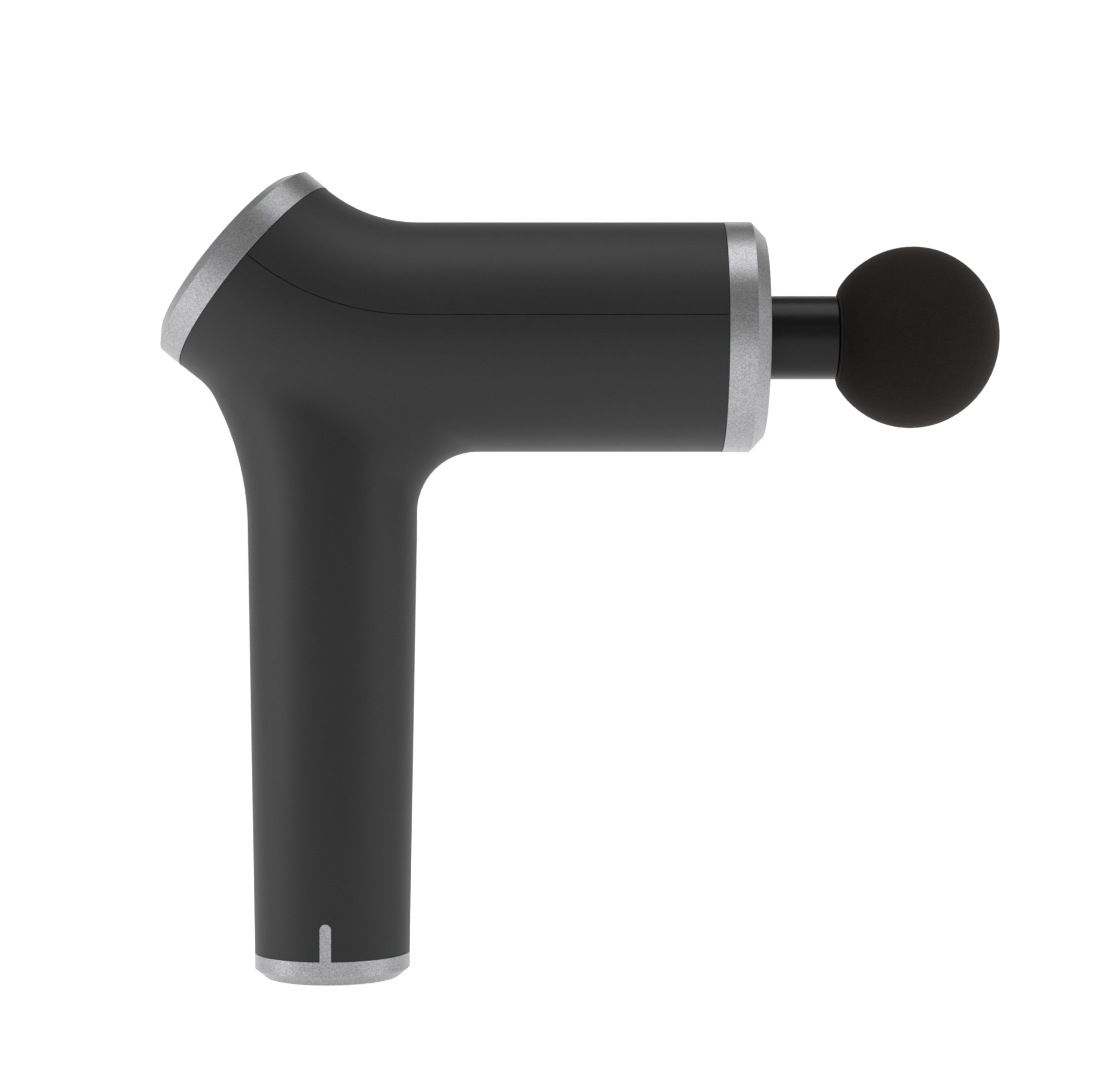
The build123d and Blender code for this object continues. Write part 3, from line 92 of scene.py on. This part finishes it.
def object_noise(tree, scale, detail=3.0, roughness=0.55, stretch=(1, 1, 1)):
    """Noise read in the piece's own coordinates, stretched along chosen axes."""
    place = tree.nodes.new("ShaderNodeTexCoord")
    mapping = tree.nodes.new("ShaderNodeMapping")
    mapping.inputs["Scale"].default_value = stretch
    noise = tree.nodes.new("ShaderNodeTexNoise")
    noise.inputs["Scale"].default_value = scale
    noise.inputs["Detail"].default_value = detail
    noise.inputs["Roughness"].default_value = roughness
    tree.links.new(place.outputs["Object"], mapping.inputs["Vector"])
    tree.links.new(mapping.outputs["Vector"], noise.inputs["Vector"])
    return noise.outputs["Fac"]


def colour_between(tree, factor, dark, light, low=0.35, high=0.65):
    """A two-colour ramp over a factor."""
    ramp = tree.nodes.new("ShaderNodeValToRGB")
    ramp.color_ramp.elements[0].position = low
    ramp.color_ramp.elements[0].color = (*dark, 1)
    ramp.color_ramp.elements[1].position = high
    ramp.color_ramp.elements[1].color = (*light, 1)
    tree.links.new(factor, ramp.inputs["Fac"])
    return ramp.outputs["Color"]


def number_between(tree, factor, low, high):
    """A factor mapped onto a range of numbers."""
    remap = tree.nodes.new("ShaderNodeMapRange")
    remap.inputs["To Min"].default_value = low
    remap.inputs["To Max"].default_value = high
    tree.links.new(factor, remap.inputs["Value"])
    return remap.outputs["Result"]


def raise_bump(tree, shader, height, strength, distance):
    """Bump a shader's normal by a height."""
    bump = tree.nodes.new("ShaderNodeBump")
    bump.inputs["Strength"].default_value = strength
    bump.inputs["Distance"].default_value = distance
    tree.links.new(height, bump.inputs["Height"])
    tree.links.new(bump.outputs["Normal"], shader.inputs["Normal"])


print("node helpers ready")

# %% [markdown]
# ## One recipe, many finishes
# Most parts are a plain stuff with a fine surface: moulded plastic, turned metal,
# rubber. One recipe with a few numbers covers them. The grain is what tells them
# apart: how large it is, how deep, and how much it moves the colour and the gloss.

# %% The general recipe
BROAD_CELLS = 12
GRAIN_RELIEF = 0.02 * MM
COAT_ROUGHNESS = 0.12


def grained(name, dark, light, grain, rough, metal=0.0, depth=0.1, stretch=(1, 1, 1),
            coat=0.0, ior=1.5):
    """A finish whose colour and height follow one grain, and its gloss a broader one."""
    material, tree, shader = new_material(name)
    fine = object_noise(tree, grain, 4.0, 0.6, stretch)
    broad = object_noise(tree, grain / BROAD_CELLS, 2.0)
    tree.links.new(colour_between(tree, fine, dark, light), shader.inputs["Base Color"])
    tree.links.new(number_between(tree, broad, *rough), shader.inputs["Roughness"])
    raise_bump(tree, shader, fine, depth, GRAIN_RELIEF)
    shader.inputs["Metallic"].default_value = metal
    shader.inputs["Coat Weight"].default_value = coat
    shader.inputs["Coat Roughness"].default_value = COAT_ROUGHNESS
    shader.inputs["IOR"].default_value = ior
    return material


print("general recipe ready")

# %% [markdown]
# ## Soft-touch charcoal
# The shells are moulded plastic under a soft-touch lacquer: nearly black, matte, with
# a dusty lift where the surface turns away. A plain dark shader would look like paint,
# so a light sheen layer gives that lift, and a very fine bump stands for the tooth that
# the fingers feel.

# %% Shell finish
TOOTH_PER_METRE = 5200
CLOUDS_PER_METRE = 22


def soft_touch_charcoal():
    """Matte charcoal lacquer with a fine tooth and a slight dusty sheen."""
    material, tree, shader = new_material("soft_touch_charcoal")
    tooth = object_noise(tree, TOOTH_PER_METRE, 3.0, 0.65)
    cloud = object_noise(tree, CLOUDS_PER_METRE, 3.0)
    colour = colour_between(tree, cloud, (0.0070, 0.0071, 0.0078), (0.0084, 0.0086, 0.0093))
    tree.links.new(colour, shader.inputs["Base Color"])
    tree.links.new(number_between(tree, cloud, 0.50, 0.60), shader.inputs["Roughness"])
    raise_bump(tree, shader, tooth, 0.22, 0.03 * MM)
    shader.inputs["Sheen Weight"].default_value = 0.05
    shader.inputs["Sheen Roughness"].default_value = 0.5
    shader.inputs["Specular IOR Level"].default_value = 0.36
    return material


SHELL = soft_touch_charcoal()
print("made", SHELL.name)

# %% [markdown]
# ## Silver flake
# The trim rings are painted with metal flake: a grey metal whose tiny plates lie at
# slightly different angles, so the surface glitters instead of shining like a mirror.
# Smooth noise would only blotch it. A cell pattern has an edge round every flake, and
# one random colour per cell gives each flake a tone, a gloss and a height of its own.

# %% Ring finish
FLAKES_PER_METRE = 5200


def silver_flake():
    """Metal-flake silver: cells about a fifth of a millimetre wide, each its own tone."""
    material, tree, shader = new_material("silver_flake")
    place = tree.nodes.new("ShaderNodeTexCoord")
    flakes = tree.nodes.new("ShaderNodeTexVoronoi")
    flakes.inputs["Scale"].default_value = FLAKES_PER_METRE
    tree.links.new(place.outputs["Object"], flakes.inputs["Vector"])
    tone = tree.nodes.new("ShaderNodeSeparateColor")
    tree.links.new(flakes.outputs["Color"], tone.inputs["Color"])
    colour = colour_between(
        tree, tone.outputs["Red"], (0.22, 0.22, 0.224), (0.42, 0.42, 0.43), 0.0, 1.0
    )
    tree.links.new(colour, shader.inputs["Base Color"])
    gloss = number_between(tree, tone.outputs["Green"], 0.30, 0.46)
    tree.links.new(gloss, shader.inputs["Roughness"])
    raise_bump(tree, shader, tone.outputs["Blue"], 0.12, 0.02 * MM)
    shader.inputs["Metallic"].default_value = 0.9
    shader.inputs["Coat Weight"].default_value = 0.15
    shader.inputs["Coat Roughness"].default_value = 0.2
    return material


SILVER = silver_flake()
print("made", SILVER.name)

# %% [markdown]
# ## Velvet foam
# The ball is dense foam with an open, velvety skin. It drinks nearly all light, and
# its pores catch a little at the rim, slightly warm. Small round pits come from a cell
# pattern, and a faint sheen with a brownish tint gives the halo.

# %% Ball finish
PITS_PER_METRE = 1500
FLUFF_PER_METRE = 2600


def velvet_foam():
    """Black foam: pits about two thirds of a millimetre across under a warm sheen."""
    material, tree, shader = new_material("velvet_foam")
    place = tree.nodes.new("ShaderNodeTexCoord")
    pits = tree.nodes.new("ShaderNodeTexVoronoi")
    pits.inputs["Scale"].default_value = PITS_PER_METRE
    tree.links.new(place.outputs["Object"], pits.inputs["Vector"])
    fluff = object_noise(tree, FLUFF_PER_METRE, 4.0, 0.7)
    colour = colour_between(tree, fluff, (0.0025, 0.0022, 0.0022), (0.010, 0.0088, 0.0080))
    tree.links.new(colour, shader.inputs["Base Color"])
    raise_bump(tree, shader, pits.outputs["Distance"], 0.55, 0.12 * MM)
    shader.inputs["Roughness"].default_value = 0.92
    shader.inputs["Sheen Weight"].default_value = 0.06
    shader.inputs["Sheen Roughness"].default_value = 0.35
    shader.inputs["Sheen Tint"].default_value = (1.0, 0.86, 0.76, 1)
    shader.inputs["Specular IOR Level"].default_value = 0.2
    return material


FOAM = velvet_foam()
print("made", FOAM.name)

# %% [markdown]
# ## Circuit board
# The boards never show until the gun is opened, yet they get their lacquer too: green,
# with a grid of slightly lighter tracks. A brick pattern draws such a grid in one node.

# %% Board finish
def green_lacquer():
    """Green solder lacquer with lighter tracks in a staggered grid."""
    material, tree, shader = new_material("green_lacquer")
    place = tree.nodes.new("ShaderNodeTexCoord")
    tracks = tree.nodes.new("ShaderNodeTexBrick")
    tracks.inputs["Scale"].default_value = 160
    tracks.inputs["Color1"].default_value = (0.010, 0.10, 0.045, 1)
    tracks.inputs["Color2"].default_value = (0.012, 0.12, 0.05, 1)
    tracks.inputs["Mortar"].default_value = (0.03, 0.22, 0.10, 1)
    tracks.inputs["Mortar Size"].default_value = 0.012
    tree.links.new(place.outputs["Object"], tracks.inputs["Vector"])
    tree.links.new(tracks.outputs["Color"], shader.inputs["Base Color"])
    raise_bump(tree, shader, tracks.outputs["Fac"], 0.2, 0.03 * MM)
    haze = object_noise(tree, 300)
    tree.links.new(number_between(tree, haze, 0.25, 0.4), shader.inputs["Roughness"])
    return material


BOARD = green_lacquer()
print("made", BOARD.name)

# %% [markdown]
# ## The rest of the shelf
# Everything else is the general recipe with its own numbers: grain size in cells per
# metre, colours from dark to light, and the range of the gloss.

# %% Other finishes
BLACK_PLASTIC = grained(
    "moulded_black", (0.012, 0.012, 0.013), (0.022, 0.022, 0.024), 3000, (0.45, 0.6)
)
GLOSS_BLACK = grained(
    "piano_black", (0.006, 0.006, 0.008), (0.010, 0.010, 0.012), 900, (0.06, 0.12),
    depth=0.02, coat=0.8,
)
BUTTON_METAL = grained(
    "button_metal", (0.30, 0.30, 0.31), (0.42, 0.42, 0.44), 2600, (0.28, 0.4), metal=0.9
)
ANODISED = grained(
    "anodised_black", (0.004, 0.004, 0.0045), (0.006, 0.006, 0.0065), 4200, (0.28, 0.34),
    depth=0.05, ior=1.3,
)
RUBBER = grained(
    "black_rubber", (0.010, 0.010, 0.010), (0.020, 0.020, 0.019), 2200, (0.7, 0.85)
)
STEEL = grained(
    "turned_steel", (0.42, 0.42, 0.43), (0.60, 0.60, 0.61), 1500, (0.22, 0.36), metal=1.0,
    stretch=(0.2, 1, 1),
)
CAST = grained(
    "cast_aluminium", (0.38, 0.38, 0.39), (0.52, 0.52, 0.54), 1200, (0.4, 0.55),
    metal=1.0, depth=0.3,
)
DARK_METAL = grained(
    "blackened_bell", (0.10, 0.10, 0.11), (0.18, 0.18, 0.19), 1400, (0.3, 0.42), metal=1.0
)
BRONZE = grained(
    "oiled_bronze", (0.42, 0.26, 0.10), (0.58, 0.38, 0.17), 1300, (0.32, 0.5), metal=1.0
)
COPPER = grained(
    "enamelled_copper", (0.40, 0.14, 0.05), (0.66, 0.27, 0.11), 2600, (0.25, 0.4),
    metal=1.0, depth=0.4, stretch=(1, 1, 4),
)
CELL_WRAP = grained(
    "cell_sleeve", (0.02, 0.14, 0.28), (0.03, 0.18, 0.34), 500, (0.2, 0.32), coat=0.4
)
CREAM = grained("cream_nylon", (0.55, 0.53, 0.47), (0.68, 0.66, 0.60), 900, (0.4, 0.55))
LIGHT_PIPE = grained(
    "light_pipe", (0.65, 0.70, 0.74), (0.80, 0.84, 0.88), 700, (0.12, 0.2), coat=0.5
)
RED_WIRE = grained(
    "red_silicone", (0.35, 0.012, 0.010), (0.48, 0.02, 0.016), 900, (0.4, 0.5)
)
YELLOW_WIRE = grained(
    "yellow_silicone", (0.50, 0.33, 0.02), (0.64, 0.45, 0.04), 900, (0.4, 0.5)
)
print("materials, with the frame's own:", len(bpy.data.materials))

# %% [markdown]
# ## Dress the frame
# A part from the frame keeps its shape and only changes its clothes. The list pairs
# each finish with the parts that wear it.

# %% Give every part its finish
WEARS = {
    SHELL: ["lower_housing", "upper_housing"],
    SILVER: ["front_ring", "rear_ring", "base_ring"],
    BLACK_PLASTIC: [
        "nose_plate", "base_plate", "switch_housing", "charging_socket", "head_stem",
        "cell_holder_bottom", "cell_holder_middle", "cell_holder_top",
        "power_transistors", "filter_capacitors", "switch_knob", "mid_block", "front_block",
    ],
    GLOSS_BLACK: ["control_panel"],
    BUTTON_METAL: ["power_button"],
    ANODISED: ["head_socket"],
    RUBBER: ["shaft_wiper", "damper_rings", "stem_o_rings"],
    STEEL: [
        "nose_screws", "board_screws", "base_screws", "mount_screws", "motor_bearings",
        "motor_shaft", "crank_pin", "crank_clip", "tie_nuts", "piston_rod",
        "stator_core", "nickel_strips", "tact_switch", "rotor_magnets", "motor_mount",
        "crank_disc",
    ],
    CAST: ["yoke", "tie_rods"],
    DARK_METAL: ["rotor_bell"],
    BRONZE: ["board_standoffs"],
    COPPER: ["stator_windings"],
    CELL_WRAP: ["battery_cells"],
    CREAM: ["board_connectors", "crank_roller", "rod_bush", "front_bush"],
    BOARD: ["button_board", "controller_board", "charge_board"],
    LIGHT_PIPE: ["panel_lights"],
    RED_WIRE: ["battery_leads"],
    YELLOW_WIRE: ["motor_leads"],
    FOAM: ["massage_ball"],
}
dressed = 0
for material, nodes in WEARS.items():
    for node in nodes:
        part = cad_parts[node]
        part.data.materials.clear()
        part.data.materials.append(material)
        dressed += 1
print("dressed", dressed, "of", len(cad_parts))

# %% [markdown]
# ## Surfaces from arrays
# New shapes are grids: two parameters run over a rectangle of numbers, a formula
# gives each point, and the grid is stitched into quads. For a turned shape one
# parameter follows the profile and the other goes round the axis. Where the profile
# ends on the axis, the ring shrinks to one point, which becomes a fan of triangles.

# %% Object from arrays
def smooth_object(name, points, faces):
    """A smooth-shaded object at the origin, from an array of places and a list of faces."""
    mesh = bpy.data.meshes.new(name)
    mesh.from_pydata(points.tolist(), [], faces)
    mesh.polygons.foreach_set("use_smooth", np.ones(len(mesh.polygons), dtype=bool))
    made = bpy.data.objects.new(name, mesh)
    bpy.context.scene.collection.objects.link(made)
    print(name, "faces:", len(mesh.polygons))
    return made


# %% Lathe helper
def lathe(name, along, radius, turns, ripple):
    """A closed form turned about the barrel's axis.

    Each profile point (along, radius) goes round in equal steps: y is the radius times
    the cosine of the angle and z is the axis height plus radius times its sine. The
    first and last profile points lie on the axis and become single poles. A ripple is
    added to the radius of every ring between them.
    """
    angle = np.linspace(0, 2 * np.pi, turns, endpoint=False)
    rings = radius[1:-1, None] + ripple
    x = np.repeat(along[1:-1, None], turns, axis=1)
    y = rings * np.cos(angle)
    z = AXIS_Z + rings * np.sin(angle)
    grid = np.stack([x, y, z], axis=-1).reshape(-1, 3)
    poles = np.array([[along[0], 0, AXIS_Z], [along[-1], 0, AXIS_Z]])
    points = np.vstack([grid, poles])
    row, col = np.meshgrid(np.arange(len(along) - 3), np.arange(turns), indexing="ij")
    here = row * turns + col
    right = row * turns + (col + 1) % turns
    quads = np.stack([here, right, right + turns, here + turns], axis=-1).reshape(-1, 4)
    step = np.arange(turns)
    follow = (step + 1) % turns
    last = (len(along) - 3) * turns
    start_fan = np.stack([np.full(turns, len(grid)), follow, step], axis=-1)
    end_fan = np.stack([last + step, last + follow, np.full(turns, len(grid) + 1)], axis=-1)
    faces = quads.tolist() + start_fan.tolist() + end_fan.tolist()
    return smooth_object(name, points, faces)


# %% [markdown]
# ## The massage ball
# The ball is a slightly flattened globe with a flat back where it meets the sleeve.
# Its profile starts on the axis at the back, runs out along the flat, rounds the rim
# and follows an ellipse to the tip. A very small seeded ripple roughens the outline,
# as foam cells do, so the edge against a white wall isn't razor sharp.

# %% Profile of the ball
HALF_SHARE = 0.541
RIM_DEPTH_SHARE = 0.6
ARC_START_SHARE = 0.985
FLAT_POINTS, RIM_POINTS, ARC_POINTS = 10, 8, 110
RIM_R = 1.2 * MM
SKIN_DEPTH = 0.05 * MM
SKIN_RIPPLE = 0.02 * MM
SKIN_SEED = 7
BALL_TURNS = 256


def ball_profile(back, tip, radius, rim):
    """Flat back, rounded rim, then an ellipse.

    Half the ellipse's length is a share of the ball's, and its centre lies that far
    behind the tip. The angle where the flat cuts it is the arc cosine of the flat's
    distance from the centre over that half length. The rim is a quarter turn of sine
    and cosine between the flat and the ellipse.
    """
    half = (tip - back) * HALF_SHARE
    centre = tip - half
    cut = math.acos((back - centre) / half)
    flat_edge = radius * math.sin(cut)
    flat_r = np.linspace(0, flat_edge - rim, FLAT_POINTS)
    bend = np.linspace(0, np.pi / 2, RIM_POINTS)[1:]
    rim_x = back + rim * (1 - np.cos(bend)) * RIM_DEPTH_SHARE
    rim_r = flat_edge - rim + rim * np.sin(bend)
    sweep = np.linspace(cut * ARC_START_SHARE, 0, ARC_POINTS)
    arc_x = centre + half * np.cos(sweep)
    arc_r = radius * np.sin(sweep)
    along = np.concatenate([np.full(FLAT_POINTS, back), rim_x[:-1], arc_x])
    around = np.concatenate([flat_r, rim_r[:-1], arc_r])
    return along, around


profile_x, profile_r = ball_profile(
    BALL_LOW[0], BALL_HIGH[0] - SKIN_DEPTH, BALL_R, RIM_R
)
print("profile points:", len(profile_x))

# %% [markdown]
# Each point of the skin is pushed in by a fixed depth and then moved by a random
# amount of about two hundredths of a millimetre, so that nearly all of it stays within
# the frame's own ball. The foam rides with the head and takes that ball's place.

# %% Make the ball
random = np.random.default_rng(SKIN_SEED)
ripple = random.normal(0, SKIN_RIPPLE, (len(profile_x) - 2, BALL_TURNS))
ripple *= np.clip(profile_r[1:-1, None] / BALL_R, 0, 1)
ball = lathe("foam_ball", profile_x, profile_r, BALL_TURNS, ripple - SKIN_DEPTH)
ball.data.materials.append(FOAM)
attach(ball, "head")
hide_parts("massage_ball")

# %% [markdown]
# ## The studio
# A small product is usually shown on a sheet of paper that hangs behind it and bends
# onto the table, so there is no corner. Here the paper glows a little: it stays white
# while the lamps stay low enough for a dark gun.

# %% Paper finish
PAPER_GLOW = 0.66


def pale_paper():
    """White paper with a faint mottle and a glow of its own."""
    material, tree, shader = new_material("pale_paper")
    mottle = object_noise(tree, 40)
    colour = colour_between(tree, mottle, (0.86, 0.86, 0.86), (0.88, 0.88, 0.88))
    tree.links.new(colour, shader.inputs["Base Color"])
    shader.inputs["Roughness"].default_value = 0.9
    shader.inputs["Emission Color"].default_value = (1, 1, 1, 1)
    shader.inputs["Emission Strength"].default_value = PAPER_GLOW
    return material


# %% Floor and sweep
FLOOR_FRONT_Y = -3.0
BEND_START_Y = 2.6
PAPER_BEND_R = 0.9
WALL_RISE = 2.2
PAPER_HALF_W = 5.0
BEND_POINTS = 24


def studio_floor():
    """A floor that bends up into a wall: flat, then a quarter circle, then upright."""
    turn = np.linspace(0, np.pi / 2, BEND_POINTS)
    bend_y = BEND_START_Y + PAPER_BEND_R * np.sin(turn)
    bend_z = PAPER_BEND_R * (1 - np.cos(turn))
    y = np.concatenate([[FLOOR_FRONT_Y], bend_y, [BEND_START_Y + PAPER_BEND_R]])
    z = np.concatenate([[0.0], bend_z, [PAPER_BEND_R + WALL_RISE]])
    left = np.stack([np.full_like(y, -PAPER_HALF_W), y, z], axis=-1)
    right = np.stack([np.full_like(y, PAPER_HALF_W), y, z], axis=-1)
    count = len(y)
    i = np.arange(count - 1)
    quads = np.stack([i, i + count, i + count + 1, i + 1], axis=-1)
    floor = smooth_object("studio_floor", np.vstack([left, right]), quads.tolist())
    floor.data.materials.append(pale_paper())


studio_floor()

# %% [markdown]
# ## Light
# Round, satin things are drawn by what they mirror. Two tall soft boxes at the sides
# give the rings their long highlights and the grip its pale edges, one from above lifts
# the barrel's back, and a weak one in front keeps the middle from going black. A lamp
# shines along its own -Z, so it is tipped by the arc cosine of the aim's fall and
# turned by the aim's heading.

# %% Lights
MIDDLE = (0.06, 0.0, 0.13)
SOFT_BOXES = {
    "left_box": {"place": (-0.75, -0.25, 0.35), "size": (0.45, 0.9), "watts": 5.0},
    "right_box": {"place": (0.85, -0.25, 0.35), "size": (0.45, 0.9), "watts": 3.4},
    "top_box": {"place": (0.05, -0.15, 1.0), "size": (0.8, 0.6), "watts": 3.5},
    "front_fill": {"place": (0.0, -1.3, 0.5), "size": (1.0, 0.7), "watts": 0.55},
}


def soft_box(name, place, size, watts):
    """A rectangular area light turned to face the middle of the gun."""
    light = bpy.data.lights.new(name, "AREA")
    light.shape = "RECTANGLE"
    light.size, light.size_y = size
    light.energy = watts
    lamp = bpy.data.objects.new(name, light)
    lamp.location = place
    aim = np.array(MIDDLE) - np.array(place)
    tip = math.acos(-aim[2] / np.linalg.norm(aim))
    lamp.rotation_euler = (tip, 0, math.atan2(aim[1], aim[0]) - math.pi / 2)
    bpy.context.scene.collection.objects.link(lamp)


for name, box in SOFT_BOXES.items():
    soft_box(name, **box)
print("lights:", len(bpy.data.lights))

# %% Room
ROOM_LIGHT = 0.18

world = bpy.data.worlds.new("white_room")
world.use_nodes = True
background = world.node_tree.nodes["Background"]
background.inputs["Color"].default_value = (1, 1, 1, 1)
background.inputs["Strength"].default_value = ROOM_LIGHT
bpy.context.scene.world = world
print("room light:", ROOM_LIGHT)

# %% [markdown]
# ## The camera
# A short telephoto looks square on at the gun's side from two thirds of a metre. Its
# lens is raised a little against its sensor, as on a view camera, so the gun stands
# upright in the frame while the lens stays level at about half its height.

# %% Camera
CAMERA_PLACE = (0.0611, -0.658, 0.1049)
SENSOR_W = 36.0
LENS = 76.8
LENS_RISE = 0.0544
NEAR_LIMIT = 0.01

camera_data = bpy.data.cameras.new("camera")
camera_data.sensor_width = SENSOR_W
camera_data.lens = LENS
camera_data.shift_y = LENS_RISE
camera_data.clip_start = NEAR_LIMIT
camera = bpy.data.objects.new("camera", camera_data)
camera.location = CAMERA_PLACE
camera.rotation_euler = (math.pi / 2, 0, 0)
bpy.context.scene.collection.objects.link(camera)
bpy.context.scene.camera = camera
bpy.context.scene.view_settings.view_transform = "Standard"
print("camera at", tuple(camera.location))
